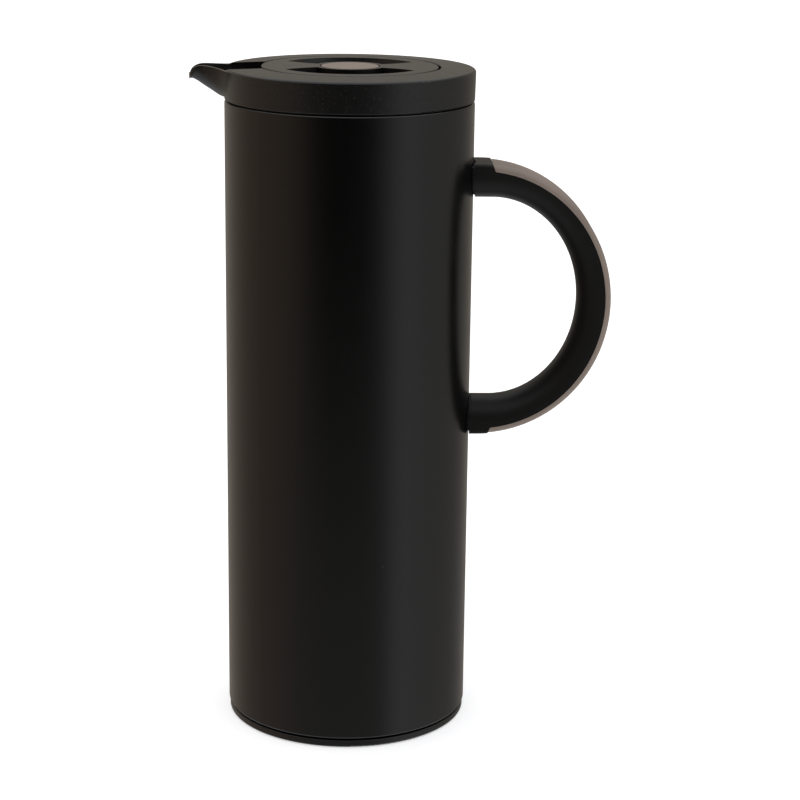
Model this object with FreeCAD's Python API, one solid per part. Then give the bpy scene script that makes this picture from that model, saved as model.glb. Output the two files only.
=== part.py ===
import FreeCAD, Part
import math
import os
from FreeCAD import Vector

os.makedirs("parts", exist_ok=True)

# Thermal jug in millimetres. +Z is up and the origin is the centre of the foot on the floor.
# The spout points to -X and the handle to +X.

# Overall sizes
body_radius = 55.0
jug_height = 298.5
base_ring_height = 3.5
base_groove = 0.9
collar_height = 14.25
collar_groove = 0.5

# Clearances
fit_gap = 0.05
seat_gap = 0.1
running_gap = 0.3

# Shell
shell_wall = 0.6
shell_top_round = 1.2
shell_bottom_round = 0.9
shell_top_lip = 4.0
shell_bottom_lip = 2.4
shell_sectors = 8

# Base cap, its foot and the bayonet ring that holds it
base_inset = 0.5
base_floor = 2.5
base_skirt_wall = 2.6
foot_proud = 0.3
foot_depth = 1.3
foot_width = 5.0
foot_inset = 6.0
insert_height = 12.3
insert_ledge = 1.6
ledge_height = 4.0
lug_height = 3.4
lug_span = 28.0
lug_entry_span = 34.0
lug_count = 3
coin_slot_length = 30.0
coin_slot_width = 5.0
coin_slot_depth = 1.2

# Glass flask
flask_air_gap = 4.5
flask_lift = 14.0
cushion_width = 10.0
cushion_gap = 1.5
flask_bottom_round = 22.0
outer_glass = 1.8
inner_glass = 1.6
vacuum_gap = 5.5
lip_height = 3.0
lip_width = 5.0
neck_height = 10.0
shoulder_height = 34.0
shoulder_round = 24.0
neck_round = 10.0
vacuum_tip_radius = 3.0
vacuum_tip_length = 4.5
spacer_height = 8.0
spacer_level = 60.0
spacer_span = 12.0
spacer_count = 3

# Collar
collar_top_width = 15.1
collar_flare = 0.3
collar_fall = 0.7
collar_edge_round = 1.4
collar_wall = 2.4
collar_plate = 2.6
throat_wall = 2.2
collar_skirt_depth = 12.0
collar_skirt_wall = 2.2
collar_seat = 1.8
snap_bead = 1.5
snap_bead_height = 3.4
centring_depth = 8.0
centring_gap = 0.7
gasket_height = 2.5
gasket_overhang = 1.3
chamber_depth = 31.5
funnel_fall = 1.2

# Pouring channel and spout
slot_half_width = 13.5
channel_wall = 2.2
channel_sill_depth = 21.5
channel_root_depth = 11.4
gutter_rim_depth = 1.3
spout_wall = 1.7
spout_tip_round = 5.4
drip_groove = 0.6
section_fullness = 0.6
# Each station: distance out from the body surface, half width, rim below the jug top, underside below it
spout_stations = [
    (-4.0, 19.2, 1.3, 14.15),
    (-1.0, 15.2, 1.2, 14.1),
    (2.0, 10.8, 0.7, 13.2),
    (5.5, 7.6, 0.25, 11.0),
    (9.0, 5.7, 0.0, 8.75),
    (12.5, 5.0, 0.7, 6.5),
    (15.3, 4.6, 3.4, 6.3),
]

# Handle. From the side each of its two edges is straight near the body and then half an ellipse.
handle_offset = 0.6
handle_drop = 26.95
handle_half_opening = 45.65
handle_opening_reach = 46.9
handle_opening_straight = 8.0
handle_arm_height = 15.4
handle_depth = 14.5
handle_outer_straight = 2.5
handle_width = 23.0
handle_inner_flat = 3.0
handle_outer_round = 1.6
inlay_thickness = 2.5
inlay_start = 8.0
inlay_end_tilt = 20.0
inlay_corner_round = 0.9
inlay_rib_width = 8.0
inlay_rib_depth = 2.2
inlay_rib_start = 22.0
block_proud = 0.4
pad_thickness = 0.7
pad_inset = 1.0
plate_thickness = 1.0
plate_width = 20.0
plate_height = 16.0
screw_radius = 2.4
screw_head_radius = 4.2
screw_head_height = 2.4
screw_reach = 13.0

# Lid cap
lid_gap = 1.1
lid_depth = 11.2
lid_plate = 2.5
lid_rim_wall = 2.2
recess_margin = 6.8
recess_inner = 38.2
recess_apex = 4.0
recess_depth = 8.5
recess_tip_depth = 2.5
recess_wall = 1.8
recess_draft = 15.0
boss_radius = 15.5
rim_seal_height = 2.0
rim_seal_depth = 4.5
rim_seal_groove = 1.4

# Stopper
chamber_width = 8.7
stopper_wall = 3.0
stopper_depth = 38.0
stopper_flange = 2.0
stopper_deck = 2.5
deck_depth = 20.5
well_wall = 2.0
valve_seat_width = 11.2
valve_seat_height = 2.5
window_count = 4
window_span = 54.0
window_height = 6.0
stopper_seal_height = 2.0

# Screw thread between stopper and collar
thread_lead = 9.0
thread_starts = 2
thread_depth = 1.9
thread_span = 150.0
thread_root_half = 1.1
thread_tip_half = 0.6
thread_clearance = 0.7

# Button, latch and valve
button_radius = 12.75
button_gap = 0.45
button_proud = 0.1
button_cap_height = 1.2
button_plate = 2.5
button_skirt_wall = 1.35
button_skirt_depth = 6.7
button_travel = 5.0
stem_radius = 4.0
post_radius = 6.5
cap_spigot_radius = 5.0
cap_spigot_depth = 1.4
rotor_height = 5.0
rotor_wall = 2.4
rotor_rib = 1.3
rotor_rib_span = 14.0
rotor_turn = 70.0
latch_ribs = 4
guide_rib_span = 20.0
guide_overlap = 3.5
sleeve_wall = 1.2
sleeve_flange = 1.0
spring_wire = 1.0
spring_turns = 6.0
valve_plate_lap = 5.0
valve_plate_height = 2.5
valve_hub_radius = 7.0
valve_hub_height = 3.5
valve_seal_height = 2.0
valve_screw_radius = 1.5
valve_screw_length = 12.0
valve_head_radius = 3.2
valve_head_height = 1.8
stem_seal_wire = 0.68

# Heights that follow from the sizes above
shell_bottom = base_ring_height + base_groove
collar_bottom = jug_height - collar_height
shell_top = collar_bottom - collar_groove
handle_half = handle_half_opening + handle_arm_height
handle_reach = handle_opening_reach + handle_depth
handle_level = shell_top - handle_drop - handle_half
floor_top = foot_proud + base_floor
insert_bottom = shell_bottom + shell_wall + fit_gap
lug_bottom = insert_bottom + ledge_height + seat_gap
lug_top = lug_bottom + lug_height
base_skirt_top = lug_top + base_skirt_wall
stopper_bottom = jug_height - stopper_depth
gasket_top = stopper_bottom - stopper_seal_height
flask_lip = gasket_top - gasket_height
neck_joint = flask_lip - lip_height
shoulder_top = flask_lip - neck_height
shoulder_bottom = shoulder_top - shoulder_height
chamber_floor = jug_height - chamber_depth
funnel_rim = chamber_floor + funnel_fall
channel_sill = jug_height - channel_sill_depth
channel_root = jug_height - channel_root_depth
gutter_rim = jug_height - gutter_rim_depth
lid_bottom = jug_height - lid_depth
deck_top = jug_height - deck_depth
deck_bottom = deck_top - stopper_deck
button_top = jug_height + button_proud
button_plate_top = button_top - button_cap_height
button_plate_bottom = button_plate_top - button_plate
rotor_top = deck_top + sleeve_flange + button_travel + rotor_height
rotor_bottom = rotor_top - rotor_height
sleeve_top = button_plate_bottom - button_travel - running_gap

# Radii that follow from the sizes above
shell_inner = body_radius - shell_wall
base_radius = body_radius - base_inset
bottom_lip_radius = body_radius - shell_bottom_lip
top_lip_radius = body_radius - shell_top_lip
insert_inner = bottom_lip_radius - insert_ledge
base_skirt_radius = insert_inner - running_gap
lug_radius = bottom_lip_radius - running_gap
flask_radius = shell_inner - flask_air_gap
inner_flask_radius = flask_radius - outer_glass - vacuum_gap
throat_radius = body_radius - collar_top_width
throat_outer = throat_radius + throat_wall
lid_radius = throat_radius - lid_gap
recess_outer = lid_radius - recess_margin
stopper_radius = throat_radius - chamber_width
valve_seat_radius = stopper_radius - valve_seat_width
valve_plate_radius = valve_seat_radius + valve_plate_lap
neck_ring_bore = stopper_radius + thread_depth + thread_clearance
neck_radius = neck_ring_bore + lip_width / 3
neck_bore = neck_radius - lip_width
centring_bore = neck_radius + centring_gap
button_bore = button_radius + button_gap
button_skirt_inner = button_radius - button_skirt_wall
rotor_inner = stem_radius + running_gap
rotor_radius = rotor_inner + rotor_wall
rotor_rib_radius = rotor_radius + rotor_rib
sleeve_bore = rotor_rib_radius + running_gap
sleeve_radius = sleeve_bore + sleeve_wall
spring_radius = (sleeve_radius + button_skirt_inner) / 2
trough_start = body_radius - collar_wall
wall_middle = body_radius - collar_wall / 2
handle_centre = body_radius + handle_offset
handle_inner_round = (handle_width - handle_inner_flat) / 2
handle_end_radius = body_radius + pad_thickness + 2 * fit_gap
pad_radius = body_radius + fit_gap + pad_thickness
handle_middle = handle_half_opening + handle_arm_height / 2
arm_levels = [handle_level + handle_middle, handle_level - handle_middle]

Z_AXIS = Vector(0, 0, 1)
ORIGIN = Vector(0, 0, 0)


def rounded_outline(corners, place):
    """Closed wire of straight runs joined by tangent arcs. Each corner is (u, v, radius)."""
    count = len(corners)
    spots = [Vector(u, v, 0) for u, v, radius in corners]
    arcs = []
    for i in range(count):
        radius = corners[i][2]
        back = (spots[i - 1] - spots[i]).normalize()
        ahead = (spots[(i + 1) % count] - spots[i]).normalize()
        half = back.getAngle(ahead) / 2
        if radius == 0:
            arcs.append((spots[i], None, spots[i]))
            continue
        setback = radius / math.tan(half)
        inward = (back + ahead).normalize()
        middle = spots[i] + inward * (radius / math.sin(half) - radius)
        arcs.append((spots[i] + back * setback, middle, spots[i] + ahead * setback))
    edges = []
    for i in range(count):
        start, middle, end = arcs[i]
        following = arcs[(i + 1) % count][0]
        if middle is not None:
            edges.append(Part.Arc(place(start), place(middle), place(end)).toShape())
        if (following - end).Length > 1e-6:
            edges.append(Part.makeLine(place(end), place(following)))
    return Part.Wire(edges)


def in_radial_plane(spot):
    """Outline point (radius, height) in the XZ plane."""
    return Vector(spot.x, 0, spot.y)


def in_cross_plane(spot):
    """Outline point (across, height) in the YZ plane."""
    return Vector(0, spot.x, spot.y)


def turned(corners, span=360.0, start=0.0):
    """Solid turned round Z from corners (radius, height, rounding)."""
    face = Part.Face(rounded_outline(corners, in_radial_plane))
    face.rotate(ORIGIN, Z_AXIS, start)
    return face.revolve(ORIGIN, Z_AXIS, span)


def turned_in_sectors(corners, count):
    """Turned solid joined from equal sectors, which keeps its long rounded rims even."""
    span = 360.0 / count
    sectors = [turned(corners, span, span * i) for i in range(count)]
    return sectors[0].fuse(sectors[1:])


def ring(inner, outer, low, high, rounding=0.0):
    """Ring with a rectangular section and rounded edges."""
    return turned([(inner, low, rounding), (outer, low, rounding),
                   (outer, high, rounding), (inner, high, rounding)])


def ring_sectors(inner, outer, low, high, span, count, first):
    """Equal sectors of a ring, centred on the angle first and evenly spaced round Z."""
    corners = [(inner, low, 0), (outer, low, 0), (outer, high, 0), (inner, high, 0)]
    spacing = 360.0 / count
    return [turned(corners, span, first - span / 2 + spacing * i) for i in range(count)]


def box_between(low, high):
    """Box between two opposite corners."""
    return Part.makeBox(high[0] - low[0], high[1] - low[1], high[2] - low[2], Vector(*low))


def rod_along_x(radius, start, end, level):
    """Round rod along X at a height."""
    return Part.makeCylinder(radius, end - start, Vector(start, 0, level), Vector(1, 0, 0))


def disc(radius, low, high):
    """Plain cylinder on the jug's axis."""
    return Part.makeCylinder(radius, high - low, Vector(0, 0, low))


def save(name, shape):
    """Write one piece, or one group of like pieces, under its name."""
    shape.exportStep("parts/" + name + ".step")


def spread(shapes):
    """One compound of separate like pieces."""
    return shapes[0] if len(shapes) == 1 else Part.makeCompound(shapes)


def make_shell():
    low_round = shell_bottom_round - shell_wall
    top_round = max(shell_top_round - shell_wall, 0.1)
    shell = turned_in_sectors([
        (bottom_lip_radius, shell_bottom, 0),
        (body_radius, shell_bottom, shell_bottom_round),
        (body_radius, shell_top, shell_top_round),
        (top_lip_radius, shell_top, 0),
        (top_lip_radius, shell_top - shell_wall, 0),
        (shell_inner, shell_top - shell_wall, top_round),
        (shell_inner, shell_bottom + shell_wall, low_round),
        (bottom_lip_radius, shell_bottom + shell_wall, 0),
    ], shell_sectors)
    for level in arm_levels:
        shell = shell.cut(rod_along_x(screw_radius + running_gap, shell_inner - 5, body_radius + 5, level))
    return shell


def make_base_cap():
    cap = turned([
        (0, foot_proud, 0),
        (base_radius, foot_proud, 0.8),
        (base_radius, base_ring_height, 0.5),
        (base_skirt_radius, base_ring_height, 0),
        (base_skirt_radius, base_skirt_top, 0.4),
        (base_skirt_radius - base_skirt_wall, base_skirt_top, 0.4),
        (base_skirt_radius - base_skirt_wall, floor_top, 1.0),
        (0, floor_top, 0),
    ])
    lugs = ring_sectors(base_skirt_radius - base_skirt_wall / 2, lug_radius, lug_bottom, lug_top,
                        lug_span, lug_count, 60.0)
    cap = cap.fuse(lugs)
    foot_outer = base_radius - foot_inset + fit_gap
    foot_inner = foot_outer - foot_width - 2 * fit_gap
    cap = cap.cut(ring(foot_inner, foot_outer, foot_proud - 1, foot_proud + foot_depth))
    half_length = coin_slot_length / 2
    half_width = coin_slot_width / 2
    slot = box_between((-half_length, -half_width, foot_proud - 1),
                       (half_length, half_width, foot_proud + coin_slot_depth))
    return cap.cut(slot).removeSplitter()


def make_foot_ring():
    outer = base_radius - foot_inset
    return ring(outer - foot_width, outer, 0, foot_proud + foot_depth - fit_gap, 0.4)


def make_base_insert():
    top = insert_bottom + insert_height
    groove_low = insert_bottom + ledge_height
    groove_high = lug_top + running_gap
    groove_radius = lug_radius + running_gap
    insert_outer = shell_inner - fit_gap
    insert = turned([
        (insert_inner, insert_bottom, 0),
        (insert_outer, insert_bottom, shell_bottom_round - shell_wall / 2),
        (insert_outer, top, 0),
        (insert_inner, top, 0),
    ])
    insert = insert.cut(ring(insert_inner - 1, groove_radius, groove_low, groove_high))
    entries = ring_sectors(insert_inner - 1, groove_radius, insert_bottom - 1, groove_low + 0.5,
                           lug_entry_span, lug_count, 0.0)
    return insert.cut(entries).removeSplitter()


def make_cushion():
    low = floor_top + fit_gap
    high = flask_lift - fit_gap
    middle = (low + high) / 2
    outer = flask_radius - flask_bottom_round - cushion_gap
    inner = outer - cushion_width
    return turned([
        (inner, low, 0.8),
        (outer, low, 0.8),
        (outer - 3, middle, 2.0),
        (outer, high, 0.8),
        (inner, high, 0.8),
    ])


def flask_side(radius, bottom, bottom_round, shoulder_low, shoulder_high, neck, top):
    """Corners of one glass surface from the axis at the bottom up to the neck."""
    return [
        (0, bottom, 0),
        (radius, bottom, bottom_round),
        (radius, shoulder_low, shoulder_round),
        (neck, shoulder_high, neck_round),
        (neck, top, 0),
    ]


def make_flask_outer():
    outside = flask_side(flask_radius, flask_lift, flask_bottom_round,
                         shoulder_bottom, shoulder_top, neck_radius, flask_lip)
    inside = flask_side(flask_radius - outer_glass, flask_lift + outer_glass,
                        flask_bottom_round - outer_glass,
                        shoulder_bottom - outer_glass / 2, shoulder_top - outer_glass / 2,
                        neck_radius - outer_glass, neck_joint)
    lip = [(neck_radius, flask_lip, 1.2), (neck_bore, flask_lip, 1.2), (neck_bore, neck_joint, 0)]
    wall = turned(outside[:-1] + lip + inside[::-1])
    tip_end = flask_lift - vacuum_tip_length
    tip = turned([
        (0, flask_lift + outer_glass / 2, 0),
        (0, tip_end, 0),
        (vacuum_tip_radius / 2, tip_end, 0.8),
        (vacuum_tip_radius, flask_lift + outer_glass / 2, 0),
    ])
    return wall.fuse(tip).removeSplitter()


def make_flask_inner():
    gap = outer_glass + vacuum_gap
    top = neck_joint - fit_gap
    outside = flask_side(inner_flask_radius, flask_lift + gap, flask_bottom_round - gap,
                         shoulder_bottom - gap, shoulder_top - gap, neck_bore + inner_glass, top)
    deep = gap + inner_glass
    inside = flask_side(inner_flask_radius - inner_glass, flask_lift + deep, flask_bottom_round - deep,
                        shoulder_bottom - deep, shoulder_top - deep, neck_bore, top)
    return turned(outside + inside[::-1])


def make_spacers():
    return spread(ring_sectors(inner_flask_radius + fit_gap, inner_flask_radius + vacuum_gap - fit_gap,
                               spacer_level, spacer_level + spacer_height, spacer_span, spacer_count, 30.0))


def make_gasket():
    return ring(neck_bore - gasket_overhang, neck_radius + centring_gap / 2,
                flask_lip, gasket_top - fit_gap, 0.4)


def thread_ridges(root, tip, overlap, first_angle, first_height):
    """Helical ridges, one for each start, rising anticlockwise seen from above."""
    ridges = []
    rise = thread_lead * thread_span / 360.0
    for start in range(thread_starts):
        path = Part.makeHelix(thread_lead, rise, root)
        section = Part.makePolygon([
            Vector(root - overlap, 0, -thread_root_half),
            Vector(tip, 0, -thread_tip_half),
            Vector(tip, 0, thread_tip_half),
            Vector(root - overlap, 0, thread_root_half),
            Vector(root - overlap, 0, -thread_root_half),
        ])
        ridge = Part.Wire(path.Edges).makePipeShell([section], True, True)
        ridge.translate(Vector(0, 0, first_height))
        ridge.rotate(ORIGIN, Z_AXIS, first_angle + 360.0 / thread_starts * start)
        ridges.append(ridge)
    return ridges


def channel_floor():
    """Outline of the channel floor as (distance from the axis, height), from throat to spout root."""
    slot_corner = math.sqrt(throat_radius ** 2 - slot_half_width ** 2)
    return [
        (slot_corner - 1.0, channel_sill),
        (throat_radius + throat_wall, channel_sill),
        (body_radius - 4.0, channel_root),
        (trough_start, channel_root),
    ]


def channel_block(top):
    """Solid that the channel is sunk into, with a wall below and beside it, standing up to top."""
    half_width = slot_half_width + channel_wall
    floor = [Vector(-distance, -half_width, height - channel_wall) for distance, height in channel_floor()]
    floor[-1].x = -wall_middle
    far = Vector(floor[-1].x, -half_width, top)
    near = Vector(floor[0].x, -half_width, top)
    face = Part.Face(Part.makePolygon(floor + [far, near, floor[0]]))
    return face.extrude(Vector(0, 2 * half_width, 0))


def spout_section(distance, half_width, rim, bottom, top):
    """Closed U section across the spout; above the rim its sides run straight up to top."""
    def spot(across, height):
        return Vector(-distance, across, height)

    belly = rim - (rim - bottom) * section_fullness
    foot = half_width * section_fullness
    left = Part.BezierCurve()
    left.setPoles([spot(-half_width, rim), spot(-half_width, belly), spot(-foot, bottom), spot(0, bottom)])
    right = Part.BezierCurve()
    right.setPoles([spot(0, bottom), spot(foot, bottom), spot(half_width, belly), spot(half_width, rim)])
    edges = [left.toShape(), right.toShape()]
    if top > rim:
        edges.append(Part.makeLine(spot(half_width, rim), spot(half_width, top)))
        edges.append(Part.makeLine(spot(half_width, top), spot(-half_width, top)))
        edges.append(Part.makeLine(spot(-half_width, top), spot(-half_width, rim)))
    else:
        edges.append(Part.makeLine(spot(half_width, rim), spot(-half_width, rim)))
    return Part.Wire(edges)


def make_spout_outside():
    sections = []
    for out, half_width, rim_drop, under_drop in spout_stations:
        rim = jug_height - rim_drop
        sections.append(spout_section(body_radius + out, half_width, rim, jug_height - under_drop, rim))
    beak = Part.makeLoft(sections, True, False)
    tip = body_radius + spout_stations[-1][0]
    nose = tip - spout_tip_round
    low = collar_bottom - 1
    corner = box_between((-tip - 1, -body_radius / 2, low), (-nose, body_radius / 2, jug_height + 2))
    corner = corner.cut(Part.makeCylinder(spout_tip_round, collar_height + 5, Vector(-nose, 0, low)))
    groove_x = -(tip - 2.6 * drip_groove)
    groove_z = jug_height - spout_stations[-1][3] - drip_groove / 3
    groove = Part.makeCylinder(drip_groove, body_radius, Vector(groove_x, -body_radius / 2, groove_z),
                               Vector(0, 1, 0))
    return beak.cut(corner).cut(groove)


def make_channel_gutter():
    """Hollow of the channel, from the throat to where the spout's trough takes over."""
    top = jug_height + 6
    sections = [spout_section(distance, slot_half_width, gutter_rim, height, top)
                for distance, height in channel_floor()]
    return Part.makeLoft(sections, True, True)


def make_spout_trough():
    top = jug_height + 6
    sections = [spout_section(trough_start, slot_half_width, gutter_rim, channel_root, top)]
    for out, half_width, rim_drop, under_drop in spout_stations[2:]:
        floor = max(jug_height - under_drop + spout_wall * 1.25, channel_root)
        rim = max(jug_height - rim_drop, floor + 1)
        sections.append(spout_section(body_radius + out, half_width - spout_wall, rim, floor, top))
    out, half_width, rim_drop, under_drop = spout_stations[-1]
    last_floor = jug_height - rim_drop - 0.2
    inside = half_width - spout_wall
    sections[-1] = spout_section(body_radius + out, inside, last_floor + 1, last_floor, top)
    sections.append(spout_section(body_radius + out + 2, inside, last_floor + 0.6, last_floor - 0.4, top))
    return Part.makeLoft(sections, True, False)


def make_collar():
    skirt_radius = top_lip_radius - running_gap
    skirt_inner = skirt_radius - collar_skirt_wall
    skirt_bottom = shell_top - collar_skirt_depth
    bead_top = shell_top - shell_wall - running_gap
    bead_bottom = bead_top - snap_bead_height
    bead_radius = skirt_radius + snap_bead
    seat_radius = body_radius - collar_seat
    wall_inner = body_radius - collar_wall
    plate_bottom = jug_height - collar_plate
    throat_end = funnel_rim + fit_gap
    top_edge = (body_radius + collar_flare, jug_height - collar_fall, collar_edge_round)
    throat_edge = (throat_radius, jug_height, 0.5)
    collar = turned([
        (body_radius, collar_bottom, 0.4),
        top_edge,
        throat_edge,
        (throat_radius, throat_end, 0),
        (throat_outer, throat_end, 0),
        (throat_outer, plate_bottom, 0),
        (wall_inner, plate_bottom - collar_fall, 0),
        (wall_inner, collar_bottom + collar_wall, 0),
        (skirt_inner, collar_bottom + collar_wall, 0),
        (skirt_inner, skirt_bottom, 0.3),
        (skirt_radius, skirt_bottom, 0.3),
        (skirt_radius, bead_bottom, 0),
        (bead_radius, bead_bottom + snap_bead, 0.2),
        (bead_radius, bead_top, 0.2),
        (skirt_radius, bead_top, 0),
        (skirt_radius, shell_top, 0),
        (seat_radius, shell_top, 0),
        (seat_radius, collar_bottom, 0),
    ])
    envelope = turned([
        (throat_radius, chamber_floor, 0),
        (skirt_radius, chamber_floor, 0),
        (skirt_radius, collar_bottom, 0),
        (body_radius, collar_bottom, 0.4),
        top_edge,
        throat_edge,
    ])
    trough = channel_block(jug_height + 2).common(envelope)
    core = disc(wall_middle, chamber_floor - 20, jug_height + 10)
    beak = make_spout_outside().cut(core)
    collar = collar.fuse([trough, beak])
    collar = collar.cut(make_channel_gutter())
    return collar.cut(make_spout_trough()).removeSplitter()


def make_funnel():
    centring_outer = centring_bore + throat_wall
    centring_end = gasket_top - centring_depth
    funnel = turned([
        (throat_outer, funnel_rim, 0),
        (throat_radius, funnel_rim, 0),
        (neck_ring_bore, chamber_floor, 0.6),
        (neck_ring_bore, gasket_top, 0),
        (centring_bore, gasket_top, 0),
        (centring_bore, centring_end, 0.4),
        (centring_outer, centring_end, 0.4),
        (centring_outer, chamber_floor - throat_wall, 0.8),
        (throat_outer, funnel_rim - throat_wall, 0.8),
    ])
    first_height = stopper_bottom + thread_root_half + 0.4
    ridges = thread_ridges(neck_ring_bore, neck_ring_bore - thread_depth, -0.4,
                           first_angle=-90.0, first_height=first_height)
    return funnel.fuse(ridges).removeSplitter()


def d_solid(straight, reach, half_height, half_width):
    """D-shaped slab: straight runs from inside the body, joined beyond them by half an ellipse."""
    back = handle_centre - handle_width
    centre = Vector(handle_centre + straight, -half_width, handle_level)
    side = centre + Vector(reach - straight, 0, 0)
    top = centre + Vector(0, 0, half_height)
    low = centre - Vector(0, 0, half_height)
    if half_height > reach - straight:
        curve = Part.ArcOfEllipse(Part.Ellipse(top, side, centre), 0, math.pi)
    else:
        curve = Part.ArcOfEllipse(Part.Ellipse(side, top, centre), -math.pi / 2, math.pi / 2)
    top_back = Vector(back, -half_width, top.z)
    low_back = Vector(back, -half_width, low.z)
    runs = [Part.makeLine(top, top_back), Part.makeLine(top_back, low_back), Part.makeLine(low_back, low)]
    face = Part.Face(Part.Wire(Part.__sortEdges__([curve.toShape()] + runs)))
    return face.extrude(Vector(0, 2 * half_width, 0))


def handle_slab(inset, half_width):
    """Slab with the handle's outer outline, drawn in by inset."""
    return d_solid(handle_outer_straight, handle_reach - inset, handle_half - inset, half_width)


def outline_edges(slab, half_height):
    """Edges on the two flat sides of a slab that follow the outline of that half height."""
    def on_outline(spot):
        return abs(abs(spot.Z - handle_level) - half_height) < 1e-4

    return [edge for edge in slab.Edges
            if all(on_outline(end) for end in edge.Vertexes)
            and abs(edge.Vertexes[0].Y - edge.Vertexes[-1].Y) < 1e-4]


def trimmed_band(outer, inner_inset, half_width, trim):
    """Outer skin of the handle with both ends cut on slanted planes, moved outwards by trim."""
    band = outer.cut(handle_slab(inner_inset, 2 * half_width))
    mean = handle_half - inlay_thickness / 2
    end_x = handle_centre + inlay_start - trim
    for side in (1, -1):
        end_z = handle_level + side * mean
        block = box_between((end_x - handle_reach, -2 * half_width, end_z - handle_width),
                            (end_x, 2 * half_width, end_z + handle_width))
        block.rotate(Vector(end_x, 0, end_z), Vector(0, 1, 0), -side * inlay_end_tilt)
        band = band.cut(block)
    corners = [edge for edge in band.Edges
               if abs(edge.Vertexes[0].Y - edge.Vertexes[-1].Y) > half_width
               and abs(edge.Vertexes[0].Z - handle_level) < mean]
    return band.makeFillet(inlay_corner_round + trim, corners)


def inlay_rib(grow):
    """Rib behind the inlay that sits in the core, grown by grow."""
    half_width = inlay_rib_width / 2 + grow
    rib = handle_slab(inlay_thickness / 2, half_width)
    rib = rib.cut(handle_slab(inlay_thickness + inlay_rib_depth + grow, 2 * half_width))
    start = handle_centre + inlay_rib_start - grow
    return rib.common(box_between((start, -half_width, 0), (start + handle_reach, half_width, jug_height)))


def make_handle_core():
    half_width = handle_width / 2
    core = handle_slab(-block_proud, half_width)
    core = core.makeFillet(handle_outer_round, outline_edges(core, handle_half + block_proud))
    opening = d_solid(handle_opening_straight, handle_opening_reach, handle_half_opening, handle_width)
    core = core.cut(opening)
    core = core.makeFillet(handle_inner_round, outline_edges(core, handle_half_opening))
    skin = handle_slab(-inlay_thickness, handle_width)
    core = core.cut(trimmed_band(skin, inlay_thickness + fit_gap, handle_width, 2 * fit_gap))
    core = core.cut(inlay_rib(seat_gap))
    core = core.cut(disc(handle_end_radius, 0, jug_height))
    for level in arm_levels:
        core = core.cut(rod_along_x(screw_radius + fit_gap, 0, body_radius + screw_reach + 1, level))
    return core.removeSplitter()


def make_handle_inlay():
    half_width = handle_width / 2
    skin = handle_slab(0, half_width)
    skin = skin.makeFillet(handle_outer_round, outline_edges(skin, handle_half))
    band = trimmed_band(skin, inlay_thickness, half_width, 0)
    return band.fuse(inlay_rib(0)).removeSplitter()


def make_handle_pads():
    half_width = handle_width / 2 - pad_inset
    inner_round = handle_inner_round - pad_inset
    outer_round = handle_outer_round - pad_inset
    near = handle_half_opening + pad_inset
    far = handle_half - pad_inset
    pads = []
    for side, level in zip((1, -1), arm_levels):
        inner_level = handle_level + side * near
        outer_level = handle_level + side * far
        outline = rounded_outline([
            (-half_width, inner_level, inner_round),
            (half_width, inner_level, inner_round),
            (half_width, outer_level, outer_round),
            (-half_width, outer_level, outer_round),
        ], in_cross_plane)
        bar = Part.Face(outline).extrude(Vector(2 * body_radius, 0, 0))
        pad = ring(body_radius + fit_gap, pad_radius, level - handle_arm_height, level + handle_arm_height)
        pad = pad.common(bar)
        pads.append(pad.cut(rod_along_x(screw_radius + running_gap, 0, 2 * body_radius, level)))
    return spread(pads)


def make_handle_plates():
    outer = shell_inner - fit_gap
    half_width = plate_width / 2
    plates = []
    for level in arm_levels:
        plate = ring(outer - plate_thickness, outer, level - plate_height / 2, level + plate_height / 2)
        plate = plate.common(box_between((0, -half_width, 0), (2 * body_radius, half_width, jug_height)))
        plates.append(plate.cut(rod_along_x(screw_radius + running_gap, 0, 2 * body_radius, level)))
    return spread(plates)


def make_handle_screws():
    screws = []
    seat = math.sqrt((shell_inner - fit_gap - plate_thickness) ** 2 - screw_head_radius ** 2) - fit_gap
    for level in arm_levels:
        head = rod_along_x(screw_head_radius, seat - screw_head_height, seat, level)
        shaft = rod_along_x(screw_radius, seat - 0.5, body_radius + screw_reach, level)
        screws.append(head.fuse(shaft).removeSplitter())
    return spread(screws)


def recess_solids(grow, high):
    """Both almond-shaped finger recesses, scooped out, grown outwards by grow and standing up to high."""
    low = jug_height - recess_depth - grow
    height = high - low
    lean = math.tan(math.radians(recess_draft))
    low_radius = recess_outer + grow - (jug_height - low) * lean
    high_radius = recess_outer + grow + (high - jug_height) * lean
    centre = recess_inner + recess_apex
    rise = recess_depth - recess_tip_depth
    tip_y = (recess_outer ** 2 - recess_inner ** 2 + centre ** 2) / (2 * centre)
    tip_squared = recess_outer ** 2 - tip_y ** 2
    scoop_radius = (tip_squared + rise ** 2) / (2 * rise)
    scoop_level = jug_height - recess_depth + scoop_radius
    scoop = Part.makeCylinder(scoop_radius + grow, 2 * body_radius,
                              Vector(0, -body_radius, scoop_level), Vector(0, 1, 0))
    almonds = []
    for side in (1, -1):
        sloping_outside = Part.makeCone(low_radius, high_radius, height, Vector(0, 0, low))
        bar_side = Part.makeCylinder(recess_inner + grow, height, Vector(0, side * centre, low))
        almonds.append(sloping_outside.common(bar_side).common(scoop))
    return almonds


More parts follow.
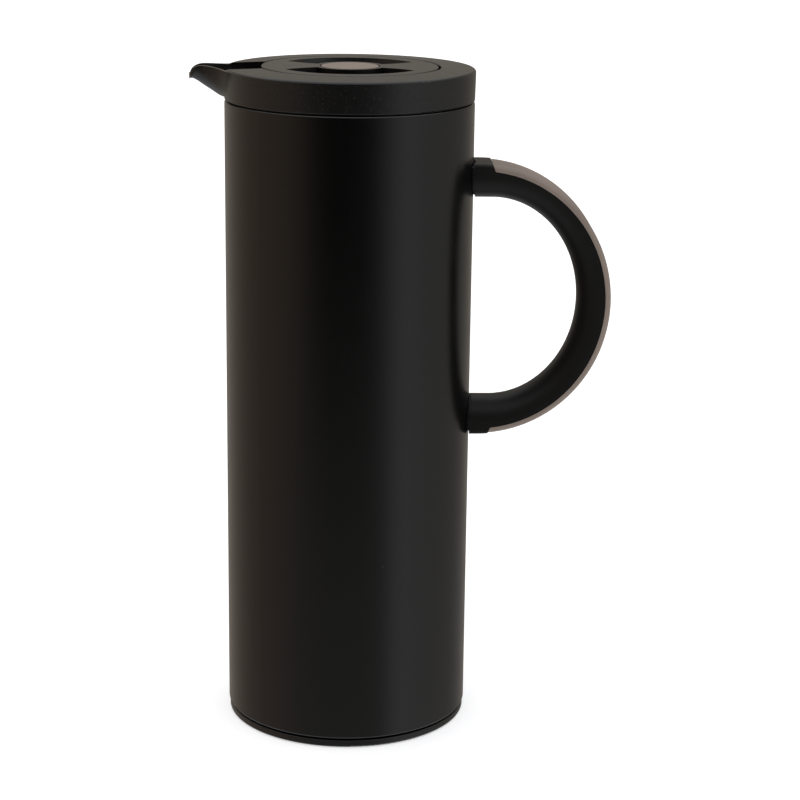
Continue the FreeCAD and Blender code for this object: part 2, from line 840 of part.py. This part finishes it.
def make_lid_cap():
    cap = turned([(0, lid_bottom, 0), (lid_radius, lid_bottom, 0.4), (lid_radius, jug_height, 0.5),
                  (0, jug_height, 0)])
    cap = cap.cut(disc(lid_radius - lid_rim_wall, lid_bottom - 1, jug_height - lid_plate))
    cap = cap.fuse(recess_solids(recess_wall, jug_height - lid_plate / 2))
    boss = disc(boss_radius, lid_bottom, jug_height)
    cap = cap.fuse(boss)
    for almond in recess_solids(0, jug_height + lid_plate):
        cap = cap.cut(almond.cut(boss))
    cap = cap.cut(disc(button_bore, lid_bottom - 1, jug_height + 1))
    groove_top = jug_height - rim_seal_depth
    groove_low = groove_top - rim_seal_height - 2 * seat_gap
    groove = ring(lid_radius - rim_seal_groove, lid_radius + 1, groove_low, groove_top)
    return cap.cut(groove).removeSplitter()


def make_rim_seal():
    top = jug_height - rim_seal_depth - seat_gap
    return ring(lid_radius - rim_seal_groove + seat_gap, throat_radius - seat_gap,
                top - rim_seal_height, top, 0.5)


def make_underplate():
    flange_bottom = lid_bottom - stopper_flange
    flange_radius = lid_radius - lid_rim_wall / 2
    flange_top = lid_bottom - fit_gap
    well = button_bore + running_gap
    well_outer = well + well_wall
    well_end = deck_top + fit_gap
    return turned([
        (well, well_end, 0),
        (well_outer, well_end, 0.4),
        (well_outer, flange_bottom, 0.6),
        (flange_radius, flange_bottom, 0.4),
        (flange_radius, flange_top, 0),
        (well, flange_top, 0),
    ])


def make_stopper():
    inner = stopper_radius - stopper_wall
    hole = stem_radius + running_gap
    stopper = turned([
        (hole, deck_bottom, 0),
        (inner, deck_bottom, 1.0),
        (inner, stopper_bottom + valve_seat_height, 0.6),
        (valve_seat_radius, stopper_bottom + valve_seat_height, 0.4),
        (valve_seat_radius, stopper_bottom, 0.4),
        (stopper_radius, stopper_bottom, 0),
        (stopper_radius, deck_top, 0.6),
        (hole, deck_top, 0),
    ])
    window_top = deck_bottom - 1.0
    windows = ring_sectors(inner - 2, stopper_radius + 2, window_top - window_height, window_top,
                           window_span, window_count, 45.0)
    stopper = stopper.cut(windows)
    gland = stem_radius + 2 * stem_seal_wire + running_gap
    middle = (deck_top + deck_bottom) / 2
    half = stem_seal_wire + fit_gap
    stopper = stopper.cut(ring(hole - 0.2, gland, middle - half, middle + half))
    first_height = stopper_bottom + thread_root_half + 0.4
    ridges = thread_ridges(stopper_radius, stopper_radius + thread_depth, 0.4,
                           first_angle=0.0, first_height=first_height)
    return stopper.fuse(ridges).removeSplitter()


def make_stopper_seal():
    return ring(neck_bore - gasket_overhang, stopper_radius,
                gasket_top + seat_gap, stopper_bottom - fit_gap, 0.3)


def make_stem_seal():
    middle = (deck_top + deck_bottom) / 2
    return Part.makeTorus(stem_radius + seat_gap + stem_seal_wire, stem_seal_wire, Vector(0, 0, middle))


def make_latch_sleeve():
    low = deck_top + fit_gap
    tube = ring(sleeve_bore, sleeve_radius, low, sleeve_top)
    flange = ring(sleeve_bore, button_bore, low, low + sleeve_flange)
    guides = ring_sectors(rotor_radius + running_gap, sleeve_bore + sleeve_wall / 2,
                          rotor_top - guide_overlap, sleeve_top, guide_rib_span, latch_ribs, 0.0)
    return tube.fuse([flange] + guides).removeSplitter()


def make_latch_rotor():
    body = ring(rotor_inner, rotor_radius, rotor_bottom, rotor_top, 0.3)
    ribs = ring_sectors(rotor_radius - 1, rotor_rib_radius, rotor_bottom, rotor_top,
                        rotor_rib_span, latch_ribs, rotor_turn)
    return body.fuse(ribs).removeSplitter()


def arc_by_control(start, control, end):
    """Arc from start to end whose end tangents meet at the point control."""
    chord_middle = (start + end) * 0.5
    angle = (control - start).getAngle(end - start)
    middle = chord_middle + (control - chord_middle) * (math.tan(angle / 2) / math.tan(angle))
    return Part.Arc(start, middle, end).toShape()


def helix_arcs(radius, low, high, turns):
    """Tangent arcs that follow a helix, a pair of them to each quarter turn."""
    steps = round(turns * 4)
    climb = (high - low) / (2 * math.pi * turns)
    edges = []
    stops = []
    for i in range(steps + 1):
        angle = math.pi / 2 * i
        spot = Vector(radius * math.cos(angle), radius * math.sin(angle), low + climb * angle)
        heading = Vector(-radius * math.sin(angle), radius * math.cos(angle), climb).normalize()
        stops.append((spot, heading))
    for (start, leaving), (end, arriving) in zip(stops, stops[1:]):
        span = end - start
        both = leaving + arriving
        square = both.dot(both) - 4
        mixed = span.dot(both)
        reach = (mixed - math.sqrt(mixed ** 2 - square * span.dot(span))) / square
        first = start + leaving * reach
        second = end - arriving * reach
        joint = (first + second) * 0.5
        edges.append(arc_by_control(start, first, joint))
        edges.append(arc_by_control(joint, second, end))
    return edges


def make_spring():
    low = deck_top + fit_gap + sleeve_flange + spring_wire / 2 + fit_gap
    high = button_plate_bottom - spring_wire / 2 - fit_gap
    edges = helix_arcs(spring_radius, low, high, spring_turns)
    start = edges[0].valueAt(edges[0].FirstParameter)
    heading = edges[0].tangentAt(edges[0].FirstParameter)
    section = Part.Wire(Part.makeCircle(spring_wire / 2, start, heading))
    return Part.Wire(edges).makePipeShell([section], True, False)


def make_button_cap():
    spigot = button_plate_top - cap_spigot_depth
    return turned([
        (0, spigot, 0),
        (cap_spigot_radius, spigot, 0.3),
        (cap_spigot_radius, button_plate_top, 0),
        (button_radius - fit_gap, button_plate_top, 0.2),
        (button_radius - fit_gap, button_top, 0.4),
        (0, button_top, 0),
    ])


def make_button_body():
    socket = cap_spigot_radius + fit_gap
    plate_top = button_plate_top - fit_gap
    spigot = button_plate_top - cap_spigot_depth - fit_gap
    skirt_bottom = button_plate_bottom - button_skirt_depth
    bore = stem_radius + fit_gap
    bore_top = button_plate_bottom - 0.8
    return turned([
        (0, spigot, 0),
        (socket, spigot, 0),
        (socket, plate_top, 0),
        (button_radius, plate_top, 0.2),
        (button_radius, skirt_bottom, 0.3),
        (button_skirt_inner, skirt_bottom, 0.3),
        (button_skirt_inner, button_plate_bottom, 0.6),
        (post_radius, button_plate_bottom, 0.6),
        (post_radius, rotor_top + seat_gap, 0.3),
        (bore, rotor_top + seat_gap, 0),
        (bore, bore_top, 0),
        (0, bore_top, 0),
    ])


def make_stem():
    low = stopper_bottom - valve_seal_height + fit_gap
    high = button_plate_bottom - 0.8 - fit_gap
    hole = valve_screw_radius + fit_gap
    hole_top = low + valve_screw_length
    return turned([
        (hole, low, 0),
        (stem_radius, low, 0.3),
        (stem_radius, high, 0.4),
        (0, high, 0),
        (0, hole_top, 0),
        (hole, hole_top, 0),
    ])


def make_valve_plate():
    top = stopper_bottom - valve_seal_height
    low = top - valve_plate_height
    hub = low - valve_hub_height
    return turned([
        (valve_screw_radius + fit_gap, hub, 0),
        (valve_hub_radius, hub, 0.8),
        (valve_hub_radius, low, 2.0),
        (valve_plate_radius, low, 1.0),
        (valve_plate_radius, top, 0.3),
        (valve_screw_radius + fit_gap, top, 0),
    ])


def make_valve_seal():
    top = stopper_bottom - seat_gap
    low = stopper_bottom - valve_seal_height + fit_gap
    return ring(valve_seat_radius - 1.5, valve_plate_radius - 0.5, low, top, 0.4)


def make_valve_screw():
    seat = stopper_bottom - valve_seal_height - valve_plate_height - valve_hub_height - fit_gap
    low = seat - valve_head_height
    high = stopper_bottom - valve_seal_height + valve_screw_length - 1.0
    return turned([
        (0, low, 0),
        (valve_head_radius, low, 0.6),
        (valve_head_radius, seat, 0.2),
        (valve_screw_radius, seat, 0),
        (valve_screw_radius, high, 0.3),
        (0, high, 0),
    ])


pieces = {
    "outer_shell": make_shell,
    "base_cap": make_base_cap,
    "foot_ring": make_foot_ring,
    "base_insert_ring": make_base_insert,
    "flask_cushion": make_cushion,
    "flask_outer_wall": make_flask_outer,
    "flask_inner_wall": make_flask_inner,
    "flask_spacers": make_spacers,
    "neck_gasket": make_gasket,
    "pour_collar": make_collar,
    "throat_funnel": make_funnel,
    "handle_core": make_handle_core,
    "handle_inlay": make_handle_inlay,
    "handle_pads": make_handle_pads,
    "handle_plates": make_handle_plates,
    "handle_screws": make_handle_screws,
    "lid_cap": make_lid_cap,
    "lid_rim_seal": make_rim_seal,
    "lid_underplate": make_underplate,
    "stopper_body": make_stopper,
    "stopper_seal": make_stopper_seal,
    "stem_seal": make_stem_seal,
    "latch_sleeve": make_latch_sleeve,
    "latch_rotor": make_latch_rotor,
    "return_spring": make_spring,
    "button_cap": make_button_cap,
    "button_body": make_button_body,
    "valve_stem": make_stem,
    "valve_plate": make_valve_plate,
    "valve_seal": make_valve_seal,
    "valve_screw": make_valve_screw,
}

for name, make in pieces.items():
    save(name, make())
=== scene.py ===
import math
import bmesh
import bpy
from mathutils import Matrix, Vector


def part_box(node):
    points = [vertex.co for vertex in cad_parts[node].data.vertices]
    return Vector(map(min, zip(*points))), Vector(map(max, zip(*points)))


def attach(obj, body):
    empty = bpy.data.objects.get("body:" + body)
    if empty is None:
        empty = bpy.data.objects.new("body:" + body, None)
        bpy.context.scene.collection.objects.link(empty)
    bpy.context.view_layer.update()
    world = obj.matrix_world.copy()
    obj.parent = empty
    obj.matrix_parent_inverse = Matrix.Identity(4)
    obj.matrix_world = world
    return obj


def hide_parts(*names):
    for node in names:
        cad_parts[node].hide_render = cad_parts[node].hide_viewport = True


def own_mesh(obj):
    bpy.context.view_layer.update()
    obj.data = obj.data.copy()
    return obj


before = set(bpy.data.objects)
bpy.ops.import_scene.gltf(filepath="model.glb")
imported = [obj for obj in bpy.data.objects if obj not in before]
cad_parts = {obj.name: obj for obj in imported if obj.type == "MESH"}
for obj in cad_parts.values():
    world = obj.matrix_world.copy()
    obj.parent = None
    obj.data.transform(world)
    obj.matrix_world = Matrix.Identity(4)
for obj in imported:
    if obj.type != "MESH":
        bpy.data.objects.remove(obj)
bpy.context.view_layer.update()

MM = 0.001

# Camera, fitted to the photograph's edges
IMAGE_WIDTH = 800
SENSOR_WIDTH = 36.0
FOCAL_PIXELS = 2196.0
CAMERA_PLACE = Vector((0.0, -965.34, 407.84)) * MM
CAMERA_YAW = math.radians(1.4035)
CAMERA_PITCH = math.radians(15.106)
CAMERA_ROLL = math.radians(0.7011)
CAMERA_NEAR_LIMIT = 10.0 * MM

# Studio. Azimuths are degrees round the jug, 0 towards the camera and positive towards the handle.
FLOOR_SIZE = 8.0
FLOOR_WHITE = (0.90, 0.90, 0.90)
FLOOR_ROUGHNESS = 0.9
FLOOR_OWN_LIGHT = 0.46
BACKDROP_WHITE = (1.0, 1.0, 1.0, 1.0)
STUDIO_BANDS = [
    (-180.0, (0.35, 0.312, 0.262)),
    (-140.0, (0.41, 0.37, 0.32)),
    (-100.0, (0.38, 0.29, 0.21)),
    (-62.0, (0.43, 0.33, 0.25)),
    (-40.0, (0.17, 0.145, 0.12)),
    (-24.0, (0.0, 0.0, 0.0)),
    (-6.0, (0.0, 0.0, 0.0)),
    (10.0, (0.0, 0.0, 0.0)),
    (28.0, (0.09, 0.09, 0.09)),
    (48.0, (0.70, 0.70, 0.71)),
    (66.0, (0.59, 0.59, 0.585)),
    (112.0, (0.285, 0.272, 0.25)),
    (135.0, (0.27, 0.252, 0.228)),
    (160.0, (0.34, 0.307, 0.262)),
    (180.0, (0.35, 0.312, 0.262)),
]
# Elevations in degrees where the ceiling and the floor take over from the walls
CEILING = (0.78, 0.80, 0.84)
CEILING_STARTS = 26.0
CEILING_FULL = 52.0
NEAR_FLOOR = (0.29, 0.28, 0.265)
NEAR_FLOOR_STARTS = -12.5
NEAR_FLOOR_FULL = -20.5
BRIGHT_FLOOR = (0.86, 0.89, 0.93)
BRIGHT_FLOOR_STARTS = -27.0
BRIGHT_FLOOR_FULL = -48.0
SUN_STRENGTH = 0.95
SUN_SPREAD = 110.0

# Pouring lip, smoother than the rest of the collar. Its places are along X,
# and a face counts as level by the upward part of its normal.
LIP_STARTS = -51.0 * MM
LIP_FULL = -55.0 * MM
LIP_ROUGHNESS = 0.12
LEVEL_STARTS = 0.3
LEVEL_FULL = 0.7

# Dots of dust and grain: the share of a dot's radius that has its full colour
SPECK_CORE = 0.5

# Edge wear. An edge is where the rounded normal and the face's normal differ:
# the limits are the cosine between them. Wear shows where the cloudy noise is high.
EDGE_SAMPLES = 6
EDGE_STARTS = 0.985
EDGE_FULL = 0.86
WEAR_DETAIL = 3.0
WEAR_STARTS = 0.42
WEAR_FULL = 0.68

# Return spring
SPRING_WIRE = 1.0 * MM
SPRING_ACTIVE_TURNS = 5.0
SPRING_CLOSED_TURNS = 0.9
SPRING_STEPS_PER_TURN = 40
SPRING_SIDES = 14


def link(obj):
    """Put an object into the scene."""
    bpy.context.scene.collection.objects.link(obj)
    return obj


class Graph:
    """Shader nodes of a material or a world."""

    def __init__(self, tree):
        self.nodes = tree.nodes
        self.links = tree.links

    def add(self, kind, inputs, **settings):
        """New node with its settings, and its inputs set to values or linked to other nodes."""
        node = self.nodes.new("ShaderNode" + kind)
        for name, value in settings.items():
            setattr(node, name, value)
        for name, value in inputs.items():
            if isinstance(value, bpy.types.NodeSocket):
                self.links.new(value, node.inputs[name])
            else:
                node.inputs[name].default_value = value
        return node

    def span(self, value, low, high, start=0.0, end=1.0, interpolation="LINEAR"):
        """Value mapped from low..high to start..end, and held there outside."""
        limits = {"Value": value, "From Min": low, "From Max": high, "To Min": start, "To Max": end}
        return self.add("MapRange", limits, interpolation_type=interpolation).outputs["Result"]

    def blended(self, mask, first, second, blend="MIX"):
        """First colour where mask is 0, second where it is 1."""
        colors = {"Factor": mask, "A": first, "B": second}
        return self.add("Mix", colors, data_type="RGBA", blend_type=blend).outputs["Result"]


class Surface(Graph):
    """A procedural material. Texture sizes and depths are millimetres on the real object."""

    def __init__(self, name, color, roughness):
        self.material = bpy.data.materials.new(name)
        self.material.use_nodes = True
        super().__init__(self.material.node_tree)
        self.shader = self.nodes["Principled BSDF"]
        self.shader.inputs["Base Color"].default_value = (*color, 1.0)
        self.shader.inputs["Roughness"].default_value = roughness
        self.coords = self.add("TexCoord", {}).outputs["Object"]
        self.color = (*color, 1.0)
        self.normal = None

    def scaled(self, stretch):
        """Coordinates with each axis multiplied by stretch."""
        return self.add("Mapping", {"Vector": self.coords, "Scale": stretch}).outputs["Vector"]

    def noise(self, size, detail=2.0, stretch=(1.0, 1.0, 1.0)):
        """Cloudy values from 0 to 1 with features of about that size."""
        inputs = {"Vector": self.scaled(stretch), "Scale": 1.0 / (size * MM), "Detail": detail}
        return self.add("TexNoise", inputs).outputs["Fac"]

    def specks(self, spacing, radius, stretch=(1.0, 1.0, 1.0)):
        """Sparse dots: 1 inside a dot, 0 between them."""
        inputs = {"Vector": self.scaled(stretch), "Scale": 1.0 / (spacing * MM)}
        distance = self.add("TexVoronoi", inputs).outputs["Distance"]
        rim = radius / spacing
        return self.span(distance, rim, SPECK_CORE * rim)

    def product(self, first, second):
        """Two masks multiplied."""
        return self.add("Math", {0: first, 1: second}, operation="MULTIPLY").outputs[0]

    def edges(self, width):
        """1 along edges that are rounded tighter than width, 0 on open faces."""
        bevel = self.add("Bevel", {"Radius": width * MM}, samples=EDGE_SAMPLES).outputs["Normal"]
        face = self.add("NewGeometry", {}).outputs["Normal"]
        match = self.add("VectorMath", {0: bevel, 1: face}, operation="DOT_PRODUCT").outputs["Value"]
        return self.span(match, EDGE_STARTS, EDGE_FULL)

    def worn_edges(self, width, patch):
        """Edges broken up into patches of about that size."""
        patches = self.span(self.noise(patch, WEAR_DETAIL), WEAR_STARTS, WEAR_FULL)
        return self.product(self.edges(width), patches)

    def polished_lip(self):
        """1 on level faces beyond the body on the spout's side, 0 elsewhere."""
        along = self.add("SeparateXYZ", {"Vector": self.coords}).outputs["X"]
        face = self.add("NewGeometry", {}).outputs["Normal"]
        rise = self.add("SeparateXYZ", {"Vector": face}).outputs["Z"]
        beyond = self.span(along, LIP_STARTS, LIP_FULL)
        return self.product(beyond, self.span(rise, LEVEL_STARTS, LEVEL_FULL))

    def tint(self, mask, color):
        """Blend the base colour towards color where mask is 1."""
        self.color = self.blended(mask, self.color, (*color, 1.0))
        self.links.new(self.color, self.shader.inputs["Base Color"])

    def roughen(self, mask, low, high):
        """Roughness from low where mask is 0 to high where it is 1."""
        self.links.new(self.span(mask, 0.0, 1.0, low, high), self.shader.inputs["Roughness"])

    def bump(self, height, depth):
        """Relief of that depth, on top of any added before."""
        inputs = {"Height": height, "Distance": depth * MM}
        if self.normal is not None:
            inputs["Normal"] = self.normal
        self.normal = self.add("Bump", inputs).outputs["Normal"]
        self.links.new(self.normal, self.shader.inputs["Normal"])


def black_lacquer():
    """Satin black paint: faint orange peel, a few dust specks and lighter rubbed edges."""
    surface = Surface("finish_black_lacquer", (0.0010, 0.0009, 0.0009), 0.24)
    surface.tint(surface.noise(45.0, 3.0), (0.0016, 0.0014, 0.0013))
    surface.tint(surface.specks(23.0, 0.30), (0.045, 0.043, 0.040))
    surface.tint(surface.specks(47.0, 0.45, (1.0, 1.0, 0.35)), (0.024, 0.022, 0.020))
    surface.tint(surface.worn_edges(0.2, 9.0), (0.0035, 0.0034, 0.0033))
    surface.roughen(surface.noise(12.0, 6.0), 0.20, 0.28)
    surface.bump(surface.noise(1.6, 2.0), 0.0014)
    surface.bump(surface.noise(0.25, 1.0), 0.0005)
    return surface.material


def grained_plastic():
    """Black moulding with a fine spark-eroded grain, light dots in it and a smooth pouring lip."""
    surface = Surface("finish_black_plastic", (0.0018, 0.0017, 0.0015), 0.32)
    surface.tint(surface.span(surface.noise(0.7, 2.0), 0.50, 0.72), (0.0085, 0.0080, 0.0075))
    surface.tint(surface.noise(30.0, 3.0), (0.0028, 0.0026, 0.0023))
    surface.tint(surface.specks(1.6, 0.35), (0.020, 0.0185, 0.017))
    surface.tint(surface.specks(19.0, 0.25), (0.04, 0.037, 0.034))
    surface.tint(surface.worn_edges(0.5, 7.0), (0.014, 0.013, 0.012))
    lip = surface.polished_lip()
    grained = surface.span(surface.noise(6.0, 5.0), 0.0, 1.0, 0.27, 0.37)
    surface.roughen(lip, grained, LIP_ROUGHNESS)
    grain_share = surface.span(lip, 0.0, 1.0, 1.0, 0.0)
    surface.bump(surface.product(surface.noise(0.55, 3.0), grain_share), 0.013)
    return surface.material


def handle_plastic():
    """Smooth satin black moulding, a little polished by hands."""
    surface = Surface("finish_handle_plastic", (0.0072, 0.0068, 0.0062), 0.42)
    surface.shader.inputs["Specular IOR Level"].default_value = 0.15
    surface.tint(surface.noise(22.0, 3.0), (0.0100, 0.0095, 0.0088))
    surface.tint(surface.specks(19.0, 0.3), (0.04, 0.038, 0.035))
    surface.tint(surface.worn_edges(0.7, 7.0), (0.020, 0.019, 0.018))
    surface.roughen(surface.noise(16.0, 4.0), 0.36, 0.48)
    surface.bump(surface.noise(0.4, 2.0), 0.004)
    return surface.material


def taupe_plastic():
    """Matt warm grey moulding with a fine mottle and faint drawn streaks."""
    surface = Surface("finish_taupe_plastic", (0.235, 0.184, 0.152), 0.48)
    surface.tint(surface.noise(0.8, 4.0), (0.273, 0.218, 0.182))
    surface.tint(surface.span(surface.noise(26.0, 3.0), 0.40, 0.75), (0.210, 0.164, 0.136))
    surface.tint(surface.specks(9.0, 0.25), (0.10, 0.085, 0.075))
    surface.tint(surface.worn_edges(0.5, 5.0), (0.27, 0.23, 0.20))
    surface.roughen(surface.noise(9.0, 5.0), 0.42, 0.55)
    surface.bump(surface.noise(0.5, 3.0), 0.007)
    return surface.material


def inner_plastic():
    """Plain black moulding with flow marks."""
    surface = Surface("finish_inner_plastic", (0.011, 0.011, 0.011), 0.4)
    surface.tint(surface.noise(18.0, 3.0, (1.0, 1.0, 0.3)), (0.017, 0.017, 0.017))
    surface.tint(surface.worn_edges(0.4, 4.0), (0.05, 0.05, 0.05))
    surface.roughen(surface.noise(5.0, 4.0), 0.34, 0.5)
    surface.bump(surface.noise(0.6, 2.0), 0.006)
    return surface.material


def black_rubber():
    """Soft matt black rubber with a dusty bloom."""
    surface = Surface("finish_black_rubber", (0.012, 0.012, 0.012), 0.7)
    surface.tint(surface.span(surface.noise(7.0, 5.0), 0.5, 0.8), (0.032, 0.031, 0.030))
    surface.tint(surface.specks(6.0, 0.2), (0.07, 0.068, 0.064))
    surface.roughen(surface.noise(3.0, 4.0), 0.62, 0.82)
    surface.bump(surface.noise(0.35, 3.0), 0.010)
    return surface.material


def clear_silicone():
    """Milky grey silicone."""
    surface = Surface("finish_clear_silicone", (0.50, 0.50, 0.48), 0.42)
    surface.shader.inputs["Subsurface Weight"].default_value = 0.4
    surface.shader.inputs["Subsurface Radius"].default_value = (1.2 * MM, 1.2 * MM, 1.1 * MM)
    surface.tint(surface.noise(5.0, 4.0), (0.58, 0.58, 0.555))
    surface.roughen(surface.noise(2.5, 3.0), 0.36, 0.52)
    surface.bump(surface.noise(0.5, 2.0), 0.005)
    return surface.material


def silvered_glass():
    """Glass silvered on the vacuum side, with slight waviness and thin spots in the silver."""
    surface = Surface("finish_flask_glass", (0.74, 0.77, 0.79), 0.07)
    surface.shader.inputs["Metallic"].default_value = 0.9
    surface.tint(surface.span(surface.noise(14.0, 5.0), 0.60, 0.80), (0.52, 0.50, 0.46))
    surface.tint(surface.specks(12.0, 0.4), (0.30, 0.29, 0.27))
    surface.roughen(surface.noise(20.0, 4.0), 0.04, 0.12)
    surface.bump(surface.noise(16.0, 2.0), 0.06)
    return surface.material


def stainless_steel():
    """Drawn stainless with fine lines along it."""
    surface = Surface("finish_steel", (0.52, 0.52, 0.51), 0.28)
    surface.shader.inputs["Metallic"].default_value = 1.0
    surface.tint(surface.noise(0.4, 3.0, (0.05, 1.0, 1.0)), (0.40, 0.40, 0.39))
    surface.roughen(surface.noise(1.5, 4.0, (0.1, 1.0, 1.0)), 0.2, 0.38)
    surface.bump(surface.noise(0.2, 2.0, (0.05, 1.0, 1.0)), 0.003)
    return surface.material


def dress_nodes():
    """Give each CAD node its material, and return the materials by the function that made them."""
    wearers = {
        black_lacquer: ["outer_shell"],
        grained_plastic: ["pour_collar", "lid_cap", "base_cap"],
        handle_plastic: ["handle_core"],
        taupe_plastic: ["handle_inlay", "button_cap"],
        inner_plastic: ["throat_funnel", "lid_underplate", "stopper_body", "button_body", "latch_sleeve",
                        "latch_rotor", "valve_stem", "valve_plate", "base_insert_ring"],
        black_rubber: ["foot_ring", "handle_pads", "flask_cushion", "lid_rim_seal", "flask_spacers"],
        clear_silicone: ["neck_gasket", "stopper_seal", "stem_seal", "valve_seal"],
        silvered_glass: ["flask_outer_wall", "flask_inner_wall"],
        stainless_steel: ["handle_plates", "handle_screws", "valve_screw", "return_spring"],
    }
    materials = {}
    for make, names in wearers.items():
        material = make()
        materials[make] = material
        for name in names:
            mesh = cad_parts[name].data
            mesh.materials.clear()
            mesh.materials.append(material)
    return materials


def spring_height(turn, turns, rise):
    """Share of the coil's rise at a turn: closed end turns, then an even open pitch."""
    closed = SPRING_WIRE * SPRING_CLOSED_TURNS
    if turn < SPRING_CLOSED_TURNS:
        return SPRING_WIRE * turn
    if turn > turns - SPRING_CLOSED_TURNS:
        return rise - SPRING_WIRE * (turns - turn)
    share = (turn - SPRING_CLOSED_TURNS) / SPRING_ACTIVE_TURNS
    return closed + (rise - 2 * closed) * share


def make_return_coil(steel):
    """Wound return spring with closed ends, in the place of the plain coil under the button."""
    low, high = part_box("return_spring")
    radius = high.x - SPRING_WIRE / 2
    bottom = low.z + SPRING_WIRE / 2
    rise = high.z - low.z - SPRING_WIRE
    turns = SPRING_ACTIVE_TURNS + 2 * SPRING_CLOSED_TURNS
    steps = round(turns * SPRING_STEPS_PER_TURN)
    shape = bmesh.new()
    rings = []
    for i in range(steps + 1):
        turn = turns * i / steps
        angle = 2 * math.pi * turn
        outward = Vector((math.cos(angle), math.sin(angle), 0.0))
        centre = outward * radius
        centre.z = bottom + spring_height(turn, turns, rise)
        section = []
        for side in range(SPRING_SIDES):
            around = 2 * math.pi * side / SPRING_SIDES
            offset = outward * math.cos(around) + Vector((0, 0, math.sin(around)))
            section.append(shape.verts.new(centre + offset * (SPRING_WIRE / 2)))
        rings.append(section)
    for first, second in zip(rings, rings[1:]):
        for side in range(SPRING_SIDES):
            following = (side + 1) % SPRING_SIDES
            shape.faces.new((first[side], second[side], second[following], first[following]))
    shape.faces.new(rings[0])
    shape.faces.new(rings[-1][::-1])
    bmesh.ops.recalc_face_normals(shape, faces=shape.faces)
    mesh = bpy.data.meshes.new("return_coil")
    shape.to_mesh(mesh)
    shape.free()
    mesh.shade_smooth()
    mesh.materials.append(steel)
    coil = link(bpy.data.objects.new("return_coil", mesh))
    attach(coil, "lid")
    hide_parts("return_spring")
    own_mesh(coil)
    return coil


def make_floor():
    """Plain white floor that glows a little, so that it stays pale beside the jug."""
    mesh = bpy.data.meshes.new("floor")
    half = FLOOR_SIZE / 2
    corners = [(-half, -half, 0), (half, -half, 0), (half, half, 0), (-half, half, 0)]
    mesh.from_pydata(corners, [], [(0, 1, 2, 3)])
    floor = link(bpy.data.objects.new("floor", mesh))
    surface = Surface("floor_white", FLOOR_WHITE, FLOOR_ROUGHNESS)
    surface.shader.inputs["Specular IOR Level"].default_value = 0.0
    surface.shader.inputs["Emission Color"].default_value = BACKDROP_WHITE
    surface.shader.inputs["Emission Strength"].default_value = FLOOR_OWN_LIGHT
    floor.data.materials.append(surface.material)
    floor.visible_glossy = False


def wall_colors(graph, across, toward_camera):
    """Colour of the studio's walls by the azimuth of a direction."""
    azimuth = graph.add("Math", {0: across, 1: toward_camera}, operation="ARCTAN2").outputs[0]
    turn = graph.span(azimuth, -math.pi, math.pi)
    ramp = graph.add("ValToRGB", {"Fac": turn})
    ramp.color_ramp.interpolation = "B_SPLINE"
    stops = ramp.color_ramp.elements
    while len(stops) < len(STUDIO_BANDS):
        stops.new(0.5)
    for stop, (angle, color) in zip(stops, STUDIO_BANDS):
        stop.position = (angle + 180.0) / 360.0
        stop.color = (*color, 1.0)
    return ramp.outputs["Color"]


def make_studio():
    """White backdrop, and dim walls, ceiling and floor that only light and reflect in the jug."""
    world = bpy.data.worlds.new("studio")
    bpy.context.scene.world = world
    world.use_nodes = True
    world.node_tree.nodes.clear()
    graph = Graph(world.node_tree)
    direction = graph.add("TexCoord", {}).outputs["Generated"]
    split = graph.add("SeparateXYZ", {"Vector": direction}).outputs
    toward_camera = graph.span(split["Y"], -1.0, 1.0, 1.0, -1.0)
    color = wall_colors(graph, split["X"], toward_camera)
    regions = [
        (CEILING, CEILING_STARTS, CEILING_FULL, "MIX"),
        (NEAR_FLOOR, NEAR_FLOOR_STARTS, NEAR_FLOOR_FULL, "LIGHTEN"),
        (BRIGHT_FLOOR, BRIGHT_FLOOR_STARTS, BRIGHT_FLOOR_FULL, "MIX"),
    ]
    for region, starts, full, blend in regions:
        limits = [math.sin(math.radians(elevation)) for elevation in (starts, full)]
        share = graph.span(split["Z"], *limits, interpolation="SMOOTHSTEP")
        color = graph.blended(share, color, (*region, 1.0), blend)
    surroundings = graph.add("Background", {"Color": color}).outputs[0]
    backdrop = graph.add("Background", {"Color": BACKDROP_WHITE}).outputs[0]
    seen = graph.add("LightPath", {}).outputs["Is Camera Ray"]
    choice = graph.add("MixShader", {"Fac": seen, 1: surroundings, 2: backdrop}).outputs[0]
    graph.add("OutputWorld", {"Surface": choice})


def make_soft_sun():
    """Very wide light from above that evens out the floor."""
    lamp = bpy.data.lights.new("soft_sun", "SUN")
    lamp.energy = SUN_STRENGTH
    lamp.angle = math.radians(SUN_SPREAD)
    lamp.specular_factor = 0.0
    link(bpy.data.objects.new("soft_sun", lamp))


def make_camera():
    """Camera at the photograph's viewing angle."""
    forward = Vector((math.sin(CAMERA_YAW) * math.cos(CAMERA_PITCH),
                      math.cos(CAMERA_YAW) * math.cos(CAMERA_PITCH),
                      -math.sin(CAMERA_PITCH)))
    level = Vector((math.cos(CAMERA_YAW), -math.sin(CAMERA_YAW), 0.0))
    upright = level.cross(forward)
    right = level * math.cos(CAMERA_ROLL) + upright * math.sin(CAMERA_ROLL)
    up = upright * math.cos(CAMERA_ROLL) - level * math.sin(CAMERA_ROLL)
    lens = bpy.data.cameras.new("camera")
    lens.sensor_width = SENSOR_WIDTH
    lens.lens = FOCAL_PIXELS / IMAGE_WIDTH * SENSOR_WIDTH
    lens.clip_start = CAMERA_NEAR_LIMIT
    camera = link(bpy.data.objects.new("camera", lens))
    turn = Matrix((right, up, -forward)).transposed()
    camera.matrix_world = Matrix.Translation(CAMERA_PLACE) @ turn.to_4x4()
    bpy.context.scene.camera = camera


materials = dress_nodes()
make_return_coil(materials[stainless_steel])
make_floor()
make_studio()
make_soft_sun()
make_camera()
bpy.context.scene.view_settings.view_transform = "Standard"
